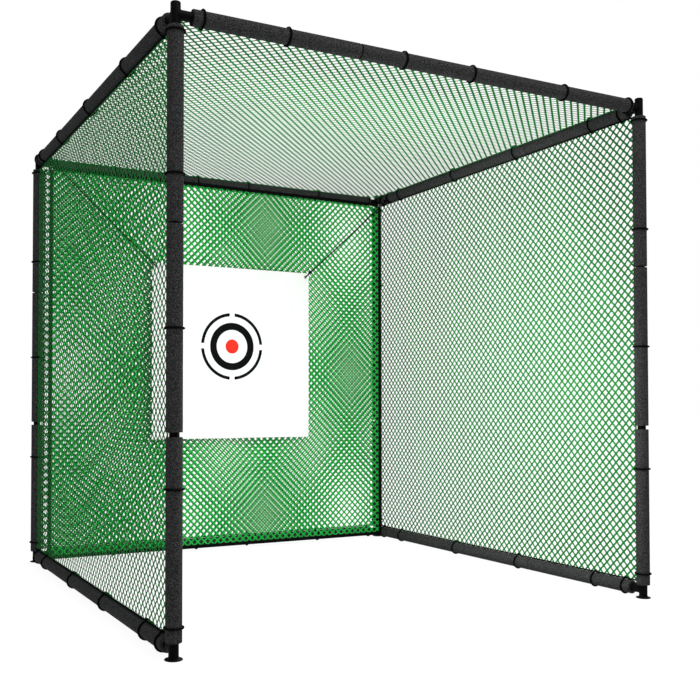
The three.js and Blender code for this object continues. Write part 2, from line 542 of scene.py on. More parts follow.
class FinishBook:
    """Makes each finish once and hands it to the pieces that wear it."""

    def __init__(self, target_print: TargetPrint) -> None:
        """Makes every finish.

        Args:
            target_print: the print of the target sheet.
        """
        netting = NettingFinish("green_netting", (0.004, 0.138, 0.019), (0.009, 0.195, 0.031))
        impact = NettingFinish("impact_netting", (0.006, 0.290, 0.034), (0.011, 0.390, 0.050))
        self.materials = {
            Finish.TUBE: PaintedSteelFinish().material(),
            Finish.CORNER: PaintedSteelFinish("painted_corner_casting", roughness=0.44).material(),
            Finish.FOAM: FoamFinish().material(),
            Finish.NETTING: netting.material(),
            Finish.IMPACT_NETTING: impact.material(),
            Finish.BORDER: BraidFinish("border_webbing").material(),
            Finish.ELASTIC: BraidFinish("elastic_cord", rib=210.0).material(),
            Finish.CANVAS: target_print.material(),
            Finish.CORD: BraidFinish("braided_cord", rib=260.0).material(),
            Finish.EYELET: PlatedFinish().material(),
        }

    def dress(self, piece: Piece, finish: Finish, body: str, node: str | None = None) -> None:
        """Gives a piece its finish and its body.

        Args:
            piece: the piece.
            finish: the finish that it wears.
            body: the body that it rides on.
            node: the CAD node that it replaces, if there is one.
        """
        piece.data.materials.clear()
        piece.data.materials.append(self.materials[finish])
        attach(piece, body)
        if node:
            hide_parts(node)

    def finished(self, name: str, mesh: Mesh, finish: Finish, body: str, smooth_below: float = 40.0,
                 node: str | None = None) -> Piece:
        """Makes a mesh a finished piece.

        Args:
            name: the piece's name.
            mesh: its mesh, in place; it is freed.
            finish: the finish that it wears.
            body: the body that it rides on.
            smooth_below: the angle in degrees under which an edge is smooth.
            node: the CAD node that it replaces, if there is one.

        Returns:
            The piece.
        """
        piece = standing(name, mesh, smooth_below)
        self.dress(piece, finish, body, node)
        return piece

    def corded(self, name: str, paths: Iterable[Path], radius: float, finish: Finish, body: str,
               sides: int = 8) -> Piece:
        """Makes round cord along some paths a finished piece, and returns it."""
        return self.finished(name, swept(paths, radius, sides), finish, body, smooth_below=80.0)


# ---------------------------------------------------------------------------
# The frame's layout, read from the CAD
# ---------------------------------------------------------------------------


@dataclass(frozen=True)
class NetEdge:
    """A net's edge that runs beside a tube: the way to it from the tube's axis, and its cord's radius."""

    way: Vector
    radius: float


@dataclass(frozen=True)
class SleevedTube:
    """One run of tube and foam between two corners, as the CAD places it."""

    name: str
    axis: int
    sections: tuple[str, str, str]
    loops: tuple[float, ...]
    nets: tuple[NetEdge, ...]

    @property
    def foam_node(self) -> str:
        """The CAD node of its foam."""
        return f"{self.name}_foam"

    def tube_node(self, section: str) -> str:
        """The CAD node of one of its tube sections."""
        return f"{self.name}_tube_{section}"

    @property
    def middle(self) -> Vector:
        """The middle of the run.

        Returns:
            A point on its axis.
        """
        low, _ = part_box(self.tube_node(self.sections[0]))
        _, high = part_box(self.tube_node(self.sections[-1]))
        return (low + high) / 2

    def reach(self, node: str) -> Pair:
        """Where a CAD node starts and ends along the run.

        Args:
            node: the CAD node.

        Returns:
            Both places, from the run's middle.
        """
        low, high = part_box(node)
        centre = self.middle[self.axis]
        return low[self.axis] - centre, high[self.axis] - centre

    def to_place(self) -> Matrix:
        """Turns +Z into the run's direction, and puts zero at its middle."""
        direction = Vector([float(i == self.axis) for i in range(3)])
        return Matrix.Translation(self.middle) @ turned_to(direction)


@dataclass(frozen=True)
class CageLayout:
    """Every sleeved tube of the cage, and the lines that the rest is placed from."""

    rope_radius: float = 0.0055
    selvedge_radius: float = 0.0026
    foam_radius: float = 0.039
    # Elastic loops: heights on a post above the bottom rails, and distances along a rail from its left
    # end or, on a side rail, from its back end.
    post_loops: tuple[float, ...] = (0.095, 0.717, 1.448, 2.153, 2.812)
    cross_rail_loops: tuple[float, ...] = (0.130, 0.575, 1.250, 1.690, 2.345, 2.850)
    side_rail_loops: tuple[float, ...] = (0.115, 0.385, 1.130, 1.845, 2.570, 2.815)
    top_left_loops: tuple[float, ...] = (0.085, 0.764, 1.463, 2.215, 2.794)

    @property
    def half_span(self) -> float:
        """From the cage's middle to the axis of a post."""
        return centre_of("front_right_post_foam", 0)

    @property
    def bottom(self) -> float:
        """The height of the bottom rails' axes."""
        return centre_of("bottom_back_rail_foam", 2)

    @property
    def top(self) -> float:
        """The height of the top rails' axes."""
        return centre_of("top_front_rail_foam", 2)

    def roof_way(self, inward: Vector) -> Vector:
        """The way from a top rail's axis to the roof net's edge, which lies a little above it.

        Args:
            inward: the level way from the rail into the cage.

        Returns:
            The way, of length one.
        """
        reach = self.foam_radius + self.selvedge_radius + CLEARANCE
        rise = (centre_of("roof_net", 2) - self.top) / reach
        return inward * math.sqrt(1.0 - rise**2) + UP * rise

    def post(self, depth: str, side: str) -> SleevedTube:
        """A post, with the nets that meet it.

        Args:
            depth: front or back.
            side: left or right.

        Returns:
            The post.
        """
        nets = [NetEdge(INTO[depth], self.selvedge_radius)]
        if depth == "back":
            nets.append(NetEdge(INTO[side], self.rope_radius))
        half_rise = (self.top - self.bottom) / 2
        loops = tuple(height - half_rise for height in self.post_loops)
        return SleevedTube(f"{depth}_{side}_post", 2, ("lower", "middle", "upper"), loops, tuple(nets))

    def rail(self, level: str, face: str) -> SleevedTube:
        """A rail, with the nets that meet it.

        Args:
            level: bottom or top.
            face: left, right, front or back.

        Returns:
            The rail.
        """
        nets = []
        if face != "front":
            nets.append(NetEdge(INTO[level], self.rope_radius))
        if level == "top":
            nets.append(NetEdge(self.roof_way(INTO[face]), self.selvedge_radius))
        if face in ("front", "back"):
            axis, sections = 0, ("left", "middle", "right")
            loops = tuple(place - self.half_span for place in self.cross_rail_loops)
        else:
            axis, sections = 1, ("front", "middle", "back")
            places = self.top_left_loops if (level, face) == ("top", "left") else self.side_rail_loops
            loops = tuple(self.half_span - place for place in places)
        return SleevedTube(f"{level}_{face}_rail", axis, sections, loops, tuple(nets))

    def runs(self) -> list[SleevedTube]:
        """Every sleeved tube of the cage.

        Returns:
            Four posts, four top rails and three bottom rails.
        """
        posts = [self.post(depth, side) for depth in ("front", "back") for side, _ in LEFT_RIGHT]
        sides = [self.rail(level, side) for level in ("bottom", "top") for side, _ in LEFT_RIGHT]
        return posts + sides + [self.rail("top", "front"), self.rail("top", "back"), self.rail("bottom", "back")]


@dataclass(frozen=True)
class RailTurns:
    """Two turns of cord round the foam of a top side rail, drawn towards a point beside it.

    `share` is how much of the way to the point they reach. `spread` is the distance between them, as a share
    of the cord's width, and `draw` is how much of it they lose at the point.
    """

    layout: CageLayout
    radius: float
    bite: float
    share: float
    spread: float
    draw: float = 0.0
    steps: int = 48

    def paths(self, point: Vector) -> list[Path]:
        """The two turns.

        Args:
            point: the point that they are drawn towards.

        Returns:
            Their paths.
        """
        rail = Vector((math.copysign(self.layout.half_span, point.x), point.y, self.layout.top))
        away = point - rail
        circles = [(0.0, 0.0, self.layout.foam_radius + self.radius - self.bite),
                   (away.x * self.share, away.z * self.share, self.radius + self.bite)]
        turns = []
        for shift in (-1, 1):
            points = []
            for x, z in hull_loop(circles, self.steps):
                near = min(1.0, max(0.0, (x * away.x + z * away.z) / away.length_squared))
                aside = shift * self.radius * (self.spread - self.draw * near)
                points.append(rail + Vector((x, aside, z)))
            turns.append(Path(points, closed=True))
        return turns


# ---------------------------------------------------------------------------
# Camera and studio
# ---------------------------------------------------------------------------


@dataclass(frozen=True)
class Lamp:
    """A soft lamp aimed at the middle of the cage: its power in watts, and its side or its radius."""

    name: str
    kind: str
    place: Triple
    power: float
    size: float
    aim: Triple = (0.0, 0.0, 1.3)

    def build(self) -> None:
        """Makes the lamp, hidden from the camera."""
        data = bpy.data.lights.new(self.name, self.kind)
        data.energy = self.power
        setattr(data, "size" if self.kind == "AREA" else "shadow_soft_size", self.size)
        lamp = bpy.data.objects.new(self.name, data)
        lamp.location = self.place
        way = Vector(self.aim) - Vector(self.place)
        lamp.rotation_euler = way.to_track_quat("-Z", "Y").to_euler()
        lamp.visible_camera = False
        bpy.context.scene.collection.objects.link(lamp)


@dataclass(frozen=True)
class Studio:
    """A pale floor, soft light and a camera that stands outside the open front, to its left."""

    camera_place: Triple = (-2.920, -5.476, 1.150)
    camera_yaw: float = 27.192
    camera_pitch: float = 1.429
    sensor: float = 36.0
    lens: float = 47.80
    shift: Pair = (0.080, 0.045)
    floor_size: float = 60.0
    floor_drop: float = 0.0008
    floor_glow: float = 0.93
    surround: float = 0.55
    # The last two stand in the cage: one at its mouth that lights the back, and one that lights all of it.
    lamps: tuple[Lamp, ...] = (
        Lamp("key_light", "AREA", (0.0, -3.6, 5.4), 90.0, 3.0),
        Lamp("back_light", "AREA", (2.5, 7.5, 6.0), 120.0, 4.0),
        Lamp("mouth_light", "AREA", (0.0, -1.5, 1.8), 55.0, 1.8),
        Lamp("inner_light", "POINT", (0.1, -0.7, 1.4), 76.0, 0.7),
    )

    def build(self) -> None:
        """Makes the camera, the sky, the lights and the floor."""
        self.place_camera()
        self.light()
        self.lay_floor()

    def place_camera(self) -> None:
        """Makes the camera."""
        data = bpy.data.cameras.new("camera")
        data.lens = self.lens
        data.sensor_width = self.sensor
        data.shift_x, data.shift_y = self.shift
        camera = bpy.data.objects.new("camera", data)
        camera.location = self.camera_place
        camera.rotation_euler = (math.radians(90.0 + self.camera_pitch), 0.0, -math.radians(self.camera_yaw))
        bpy.context.scene.collection.objects.link(camera)
        bpy.context.scene.camera = camera
        bpy.context.scene.view_settings.view_transform = "Standard"

    def light(self) -> None:
        """Makes an even white surround, dimmer as light than as backdrop, and the lamps."""
        world = bpy.data.worlds.new("surround")
        bpy.context.scene.world = world
        world.use_nodes = True
        tree = world.node_tree
        tree.nodes.clear()
        lit, seen = (tree.nodes.new("ShaderNodeBackground") for _ in range(2))
        lit.inputs["Color"].default_value = (0.97, 0.98, 1.0, 1.0)
        lit.inputs["Strength"].default_value = self.surround
        seen.inputs["Color"].default_value = (1.0, 1.0, 1.0, 1.0)
        rays = tree.nodes.new("ShaderNodeLightPath")
        blend = tree.nodes.new("ShaderNodeMixShader")
        output = tree.nodes.new("ShaderNodeOutputWorld")
        tree.links.new(rays.outputs["Is Camera Ray"], blend.inputs["Fac"])
        tree.links.new(lit.outputs[0], blend.inputs[1])
        tree.links.new(seen.outputs[0], blend.inputs[2])
        tree.links.new(blend.outputs[0], output.inputs["Surface"])
        for lamp in self.lamps:
            lamp.build()

    def lay_floor(self) -> None:
        """Makes a wide white floor just under the feet."""
        mesh = bmesh.new()
        bmesh.ops.create_grid(mesh, x_segments=1, y_segments=1, size=self.floor_size / 2)
        floor = standing("floor", moved(mesh, Matrix.Translation(-UP * self.floor_drop)))
        graph = NodeGraph("white_floor", roughness=0.9, specular=0.1)
        graph.shader.inputs["Base Color"].default_value = (0.12, 0.12, 0.12, 1.0)
        graph.shader.inputs["Emission Color"].default_value = (1.0, 1.0, 1.0, 1.0)
        seen = graph.node("ShaderNodeLightPath").outputs["Is Camera Ray"]
        extra = graph.math("MULTIPLY", seen, self.floor_glow - self.surround)
        glow = graph.math("ADD", extra, self.surround)
        graph.link(glow, "Emission Strength")
        floor.data.materials.append(graph.material)


# ---------------------------------------------------------------------------
# Frame: tubes, corners, foam and loops
# ---------------------------------------------------------------------------


@dataclass(frozen=True)
class TubeSections:
    """Round steel tube in three sections to a run, each pushed onto the spigot of the one before."""

    book: FinishBook
    radius: float = 0.024
    wall: float = 0.0015
    spigot_length: float = 0.060
    swage: float = 0.006
    fit: float = 0.0003
    lip: float = 0.0006

    def outline(self, length: float, has_spigot: bool) -> list[Pair]:
        """The wall of one section.

        Args:
            length: the section's length without its spigot.
            has_spigot: whether its far end is swaged into a spigot.

        Returns:
            Radius and height of each corner.
        """
        bore = self.radius - self.wall
        outer = [(bore, self.lip), (bore + self.lip, 0.0), (self.radius - self.lip, 0.0),
                 (self.radius, self.lip), (self.radius, length - self.lip),
                 (self.radius - self.lip, length)]
        if not has_spigot:
            return outer + [(bore + self.lip, length), (bore, length - self.lip)]
        spigot = bore - self.fit
        end = length + self.spigot_length
        return outer + [(spigot, length), (spigot, end - 2 * self.lip), (spigot - self.lip, end),
                        (spigot - self.wall, end), (spigot - self.wall, length - self.swage),
                        (bore, length - 2 * self.swage)]

    def build(self, run: SleevedTube) -> int:
        """Makes the tube sections of one run.

        Args:
            run: the run to make them for.

        Returns:
            How many sections were made.
        """
        for section in run.sections:
            node = run.tube_node(section)
            start, end = run.reach(node)
            has_spigot = section != run.sections[-1]
            length = end - start - (self.spigot_length if has_spigot else 0.0)
            place = run.to_place() @ Matrix.Translation(UP * start)
            mesh = moved(spun(self.outline(length, has_spigot)), place)
            self.book.finished(f"{node}_round", mesh, Finish.TUBE, ROOT, node=node)
        return len(run.sections)


@dataclass(frozen=True)
class CornerFittings:
    """Welded corners of tube: a capped stub on top of each upper one, a round foot under each lower one."""

    book: FinishBook
    layout: CageLayout
    radius: float = 0.024
    arm: float = 0.100
    spigot: float = 0.0222
    spigot_length: float = 0.060
    bore: float = 0.0207
    bore_start: float = 0.0096
    chamfer: float = 0.001
    foot_disc: float = 0.0425
    foot_thickness: float = 0.005
    foot_edge: float = 0.0016
    foot_rim: float = 0.010
    flare_rise: float = 0.014
    weld: float = 0.0022
    weld_steps: int = 12
    weld_end: float = 0.35
    cap_edge: float = 0.007
    steps: int = 48

    def turned(self, outline: Sequence[Pair], direction: Vector) -> Mesh:
        """Spins an outline that starts and ends on the axis, and turns it to a direction."""
        return moved(spun(outline, closed=False, steps=self.steps), turned_to(direction))

    def arm_mesh(self, direction: Vector) -> Mesh:
        """One arm with its spigot.

        Args:
            direction: the way it goes from the corner's middle.

        Returns:
            Its mesh.
        """
        end = self.arm + self.spigot_length
        outline = [(0.0, 0.0), (self.radius, 0.0), (self.radius, self.arm - self.chamfer),
                   (self.radius - self.chamfer, self.arm), (self.spigot, self.arm),
                   (self.spigot, end - self.chamfer), (self.spigot - self.chamfer, end), (0.0, end)]
        return self.turned(outline, direction)

    def bore_mesh(self, direction: Vector) -> Mesh:
        """The hole down one arm, a little longer than the arm."""
        start, end = self.bore_start, self.arm + self.spigot_length + 2 * self.chamfer
        return self.turned([(0.0, start), (self.bore, start), (self.bore, end), (0.0, end)], direction)

    def stub(self, height: float) -> Mesh:
        """The capped stub above a top corner.

        Args:
            height: how far it reaches from the corner's middle.

        Returns:
            Its mesh, the corner's middle at the origin.
        """
        edge = rounding(self.cap_edge, (90, 67.5, 45, 22.5, 0))
        rim = [(self.radius - side, height - rise) for side, rise in edge]
        return self.turned([(0.0, 0.0), (self.radius, 0.0), *rim, (self.radius / 2, height), (0.0, height)], UP)

    def foot(self, height: float) -> Mesh:
        """The stem and the foot under a bottom corner.

        Args:
            height: how far they reach from the corner's middle.

        Returns:
            Their mesh, the corner's middle at the origin.
        """
        disc, edge, thickness = self.foot_disc, self.foot_edge, self.foot_thickness
        reach = disc - self.foot_rim - self.radius
        flare = [(self.radius + reach * side, self.flare_rise * rise + thickness)
                 for side, rise in rounding(1.0, range(0, 91, 18))]
        outline = [(0.0, 0.0), (disc - edge, 0.0), (disc, edge), (disc, thickness - edge),
                   (disc - edge, thickness), *flare, (self.radius, height), (0.0, height)]
        return moved(self.turned(outline, UP), Matrix.Translation(-UP * height))

    def weld_bead(self, first: Vector, second: Vector) -> Path:
        """The bead where two equal arms meet: half an ellipse on the inside of their angle.

        Args:
            first: the way one arm goes.
            second: the way the other goes.

        Returns:
            Its path, thin at the ends.
        """
        out = (first + second).normalized()
        side = first.cross(second).normalized()
        angles = [math.pi * (step / self.weld_steps - 0.5) for step in range(self.weld_steps + 1)]
        points = [out * (self.radius * math.sqrt(2) * math.cos(angle)) + side * (self.radius * math.sin(angle))
                  for angle in angles]
        return Path(points, radii=[self.weld_end] + [1.0] * (self.weld_steps - 1) + [self.weld_end])

    def arm_and_bore(self, body: Piece, ways: Sequence[Vector]) -> None:
        """Joins a corner's arms to its upright and bores them.

        Args:
            body: the upright, as an object.
            ways: the way each arm goes.
        """
        tools = []
        for operation, maker in (("UNION", self.arm_mesh), ("DIFFERENCE", self.bore_mesh)):
            for way in ways:
                tools.append(standing("corner_tool", maker(way)))
                cut = body.modifiers.new("cut", "BOOLEAN")
                cut.operation, cut.object, cut.solver = operation, tools[-1], "EXACT"
        plain, body.data = body.data, baked(body)
        body.modifiers.clear()
        bpy.data.meshes.remove(plain)
        body.data.name = body.name
        soften(body.data)
        for tool in tools:
            bpy.data.objects.remove(tool)

    def build_one(self, level: str, depth: str, side: str) -> None:
        """Makes one corner.

        Args:
            level: bottom or top.
            depth: front or back.
            side: left or right.
        """
        node = f"{level}_{depth}_{side}_corner"
        is_top = level == "top"
        height = self.layout.top if is_top else self.layout.bottom
        centre = UP * height - (INTO[side] + INTO[depth]) * self.layout.half_span
        ways = [INTO[level], INTO[depth]]
        if is_top or depth == "back":
            ways.append(INTO[side])
        low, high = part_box(node)
        upright = self.stub(high.z - centre.z) if is_top else self.foot(centre.z - low.z)
        body = standing(f"{node}_round", upright)
        self.arm_and_bore(body, ways)
        met = ways + [-INTO[level]]
        pairs = [(a, b) for i, a in enumerate(met) for b in met[i + 1:] if abs(a.dot(b)) < 0.5]
        beads = standing(f"{node}_welds", swept([self.weld_bead(a, b) for a, b in pairs], self.weld))
        for piece, replaced in ((body, node), (beads, None)):
            piece.data.transform(Matrix.Translation(centre))
            self.book.dress(piece, Finish.CORNER, ROOT, replaced)

    def build(self) -> int:
        """Makes all eight corners.

        Returns:
            How many were made.
        """
        places = [(level, depth, side) for level in ("bottom", "top") for depth in ("front", "back")
                  for side, _ in LEFT_RIGHT]
        for place in places:
            self.build_one(*place)
        return len(places)


@dataclass(frozen=True)
class FoamSleeves:
    """Foam tube over each run, in three sleeves that stop short of one another."""

    book: FinishBook
    radius: float = 0.039
    bore: float = 0.0245
    rim: float = 0.0028
    pinch: float = 0.0013
    pinch_reach: float = 0.010
    pinch_shares: tuple[float, ...] = (-1.0, -0.7, -0.35, 0.0, 0.35, 0.7, 1.0)
    post_breaks: Pair = (0.022, 0.008)
    rail_breaks: Pair = (0.008, 0.003)

    def outline(self, start: float, end: float, loops: Sequence[float]) -> list[Pair]:
        """The wall of one sleeve, pinched a little under each elastic loop.

        Args:
            start: where it starts along the run.
            end: where it ends.
            loops: the places of the run's loops.

        Returns:
            Radius and place of each corner.
        """
        edge = rounding(self.rim, (0, 30, 60, 90))
        wall = [(self.radius - side, start + rise) for side, rise in edge]
        for loop in loops:
            if start + 2 * self.rim < loop < end - 2 * self.rim:
                for share in self.pinch_shares:
                    depth = self.pinch * (1 + math.cos(math.pi * share)) / 2
                    place = min(max(loop + share * self.pinch_reach, start + self.rim), end - self.rim)
                    wall.append((self.radius - depth, place))
        wall += [(self.radius - side, end - rise) for side, rise in reversed(edge)]
        return [(self.bore, start), *wall, (self.bore, end)]

    def build(self, run: SleevedTube) -> int:
        """Makes the sleeves of one run.

        Args:
            run: the run to make them for.

        Returns:
            How many sleeves were made.
        """
        start, end = run.reach(run.foam_node)
        breaks = self.post_breaks if run.axis == 2 else self.rail_breaks
        joints = [run.reach(run.tube_node(section))[0] for section in run.sections[1:]]
        starts = [start] + [joint + gap / 2 for joint, gap in zip(joints, breaks)]
        ends = [joint - gap / 2 for joint, gap in zip(joints, breaks)] + [end]
        for section, low, high in zip(run.sections, starts, ends):
            mesh = moved(spun(self.outline(low, high, sorted(run.loops))), run.to_place())
            piece = self.book.finished(f"{run.name}_sleeve_{section}", mesh, Finish.FOAM, ROOT,
                                       node=run.foam_node)
        return len(run.sections)


@dataclass(frozen=True)
class ElasticLoops:
    """Stretch-cord loops that hold the nets' edges to the foam."""

    book: FinishBook
    layout: CageLayout
    radius: float = 0.0053
    bite: float = 0.0006
    steps: int = 40

    def path(self, run: SleevedTube, place: float) -> Path:
        """One loop, tight round the foam and the net edges beside it.

        Args:
            run: the run that it goes round.
            place: where it sits along the run.

        Returns:
            The loop's path.
        """
        foam = self.layout.foam_radius
        turn = run.to_place()
        back = turn.to_3x3().inverted()
        circles = [(0.0, 0.0, foam + self.radius - self.bite)]
        for net in run.nets:
            way = back @ net.way
            reach = foam + net.radius + CLEARANCE
            circles.append((way.x * reach, way.y * reach, net.radius + self.radius))
        return Path([turn @ Vector((x, y, place)) for x, y in hull_loop(circles, self.steps)], closed=True)

    def build(self, run: SleevedTube) -> int:
        """Makes the loops of one run as one piece.

        Args:
            run: the run to make them for.

        Returns:
            How many loops were made.
        """
        loops = [self.path(run, place) for place in run.loops]
        self.book.corded(f"{run.name}_elastic_loops", loops, self.radius, Finish.ELASTIC, ROOT)
        return len(loops)


# ---------------------------------------------------------------------------
# Nets
# ---------------------------------------------------------------------------


@dataclass(frozen=True)
class DiamondMesh:
    """Diamond netting in a rectangle: flat strands that pass over and under one another."""

    width: float = 0.0119
    thickness: float = 0.0015
    node_swell: float = 1.22
    waist: float = 0.92
    diagonal: float = 0.0545
    # How far a strand rises or dips at a node, as a share of its thickness.
    lift: float = 0.40
    # The shortest strand, and how far its first bend lies from its end, in steps of half a pitch.
    shortest: float = 0.3
    margin: float = 0.1
    # Where a net's pitch or its first node isn't the one that fills its rectangle evenly.
    pitch: Pair | None = None
    first: Pair | None = None

    def strand(self, line: int, slope: int, half: Pair, first: Pair, size: Pair, sag: float) -> Path | None:
        """One strand, from edge to edge of its rectangle.

        Args:
            line: which of the strands of its slope it is.
            slope: 1 for a strand that rises along X, -1 for one that falls.
            half: half of the mesh's pitch each way.
            first: the place of a node.
            size: the rectangle's size.
            sag: how far the rectangle's middle lies along +Z.

        Returns:
            Its path, or None where it misses the rectangle.
        """
        across = sorted((edge - first[0]) / half[0] for edge in (-size[0] / 2, size[0] / 2))
        upward = sorted(slope * ((edge - first[1]) / half[1] - 2 * line) for edge in (-size[1] / 2, size[1] / 2))
        start, end = max(across[0], upward[0]), min(across[1], upward[1])
        if end - start < self.shortest:
            return None
        bends = range(math.ceil(2 * (start + self.margin)), math.floor(2 * (end - self.margin)) + 1)
        inner = [bend / 2 for bend in bends]
        points, radii = [], []
        for step in [start, *inner, end]:
            x = first[0] + step * half[0]
            y = first[1] + (slope * step + 2 * line) * half[1]
            node = round(step) if step in inner and step == round(step) else None
            over = 0 if node is None else slope * (-1) ** node
            dip = sag * math.cos(math.pi * x / size[0]) * math.cos(math.pi * y / size[1])
            points.append(Vector((x, y, dip + over * self.thickness * self.lift)))
            radii.append(self.waist if node is None else self.node_swell)
        return Path(points, radii=radii)

    def strands(self, width: float, height: float, sag: float) -> list[Path]:
        """The strands of a rectangle of net, centred, in the XY plane.

        Args:
            width: the rectangle's size along X.
            height: the rectangle's size along Y.
            sag: how far its middle lies along +Z.

        Returns:
            One path for each strand.
        """
        pitch = self.pitch or (width / round(width / self.diagonal), height / round(height / self.diagonal))
        first = self.first or (-width / 2, -height / 2)
        half = (pitch[0] / 2, pitch[1] / 2)
        reach = math.ceil((width + height) / min(pitch)) + 2
        paths = [self.strand(line, slope, half, first, (width, height), sag)
                 for slope in (1, -1) for line in range(-reach, reach + 1)]
        return [path for path in paths if path is not None]

    def lattice(self, width: float, height: float, sag: float) -> Mesh:
        """The net's mesh, centred, in the XY plane, its face towards +Z.

        Args:
            width: the rectangle's size along X.
            height: the rectangle's size along Y.
            sag: how far its middle lies along +Z.

        Returns:
            The mesh.
        """
        flatten = self.thickness / self.width
        thicken = Matrix.Diagonal((1.0, 1.0, 1.0 / flatten))
        stretched = [Path([thicken @ point for point in path.points], radii=path.radii)
                     for path in self.strands(width, height, sag)]
        return moved(swept(stretched, self.width / 2, sides=4), Matrix.Diagonal((1.0, 1.0, flatten, 1.0)))


class Facing(Enum):
    """Which way a net's own X and Y run, and so which way it faces."""

    SIDE = "side"
    BACK = "back"
    ROOF = "roof"

    def turn(self) -> Matrix:
        """Turns the XY plane into the net's plane.

        Returns:
            The turn, which leaves the net's own Y upward or towards the back.
        """
        if self is Facing.SIDE:
            return Matrix(((0, 0, 1), (1, 0, 0), (0, 1, 0))).to_4x4()
        if self is Facing.BACK:
            return Matrix(((1, 0, 0), (0, 0, -1), (0, 1, 0))).to_4x4()
        return Matrix.Identity(4)

    def to_place(self, node: str) -> Matrix:
        """Puts the XY plane in the place of a net's CAD node."""
        low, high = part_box(node)
        return Matrix.Translation((low + high) / 2) @ self.turn()


@dataclass(frozen=True)
class CageNet:
    """One net of the cage: its netting, its border ropes and its selvedge cords."""

    book: FinishBook
    layout: CageLayout
    node: str
    facing: Facing
    ropes: tuple[str, ...]
    sag: float
    held_by: tuple[str, ...]
    mesh: DiamondMesh = field(default_factory=DiamondMesh)
    twist: float = 0.034
    turn_steps: int = 10
    # How far a rope's strands lie from its middle, and how thick they are, as shares of its radius.
    lay: float = 0.5
    strand_share: float = 0.54

    def rope_strands(self, start: Vector, end: Vector) -> list[Path]:
        """Three strands laid round one another.

        Args:
            start: where the rope starts.
            end: where it ends.

        Returns:
            The strands' paths.
        """
        along = (end - start).normalized()
        side = along.orthogonal().normalized()
        other = along.cross(side)
        length = (end - start).length
        steps = round(length / self.twist * self.turn_steps)
        lay = self.layout.rope_radius * self.lay
        paths = []
        for strand in range(3):
            points = []
            for step in range(steps + 1):
                angle = math.tau * (step / self.turn_steps + strand / 3)
                swing = side * (lay * math.cos(angle)) + other * (lay * math.sin(angle))
                points.append(start + along * (length * step / steps) + swing)
            paths.append(Path(points))
        return paths

    def edges(self, width: float, height: float) -> dict[str, tuple[Vector, Vector]]:
        """The middle line of each edge's cord.

        Args:
            width: the net's own width.
            height: its own height.

        Returns:
            Both ends of each line, in the net's own plane, by the edge's name.
        """
        inset = {
            name: self.layout.rope_radius if name in self.ropes else self.layout.selvedge_radius
            for name in ("low", "high", "near", "far")
        }
        left, right = inset["near"] - width / 2, width / 2 - inset["far"]
        low, high = inset["low"] - height / 2, height / 2 - inset["high"]
        return {
            "low": (Vector((left, low, 0)), Vector((right, low, 0))),
            "high": (Vector((left, high, 0)), Vector((right, high, 0))),
            "near": (Vector((left, low, 0)), Vector((left, high, 0))),
            "far": (Vector((right, low, 0)), Vector((right, high, 0))),
        }

    def build(self) -> None:
        """Makes the netting, the ropes and the selvedges."""
        low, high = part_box(self.node)
        place = self.facing.to_place(self.node)
        width, height, _ = map(abs, place.to_3x3().transposed() @ (high - low))
        netting = moved(self.mesh.lattice(width, height, self.sag), place)
        piece = self.book.finished(f"{self.node}_mesh", netting, Finish.NETTING, ROOT, 75.0, self.node)
        lines = self.edges(width, height)
        ropes = [path for name in lines if name in self.ropes for path in self.rope_strands(*lines[name])]
        plain = [Path(self.stations(*lines[name])) for name in lines if name not in self.ropes]
        for label, paths, radius, sides, finish in (
            ("border_ropes", ropes, self.layout.rope_radius * self.strand_share, 6, Finish.BORDER),
            ("selvedges", plain, self.layout.selvedge_radius, 8, Finish.NETTING),
        ):
            if paths:
                mesh = moved(swept(paths, radius, sides), place)
                self.book.finished(f"{self.node}_{label}", mesh, finish, ROOT, 70.0)

    def stations(self, start: Vector, end: Vector) -> list[Vector]:
        """Points along a selvedge, one to each mesh."""
        count = round((end - start).length / self.mesh.diagonal)
        return [start.lerp(end, step / count) for step in range(count + 1)]


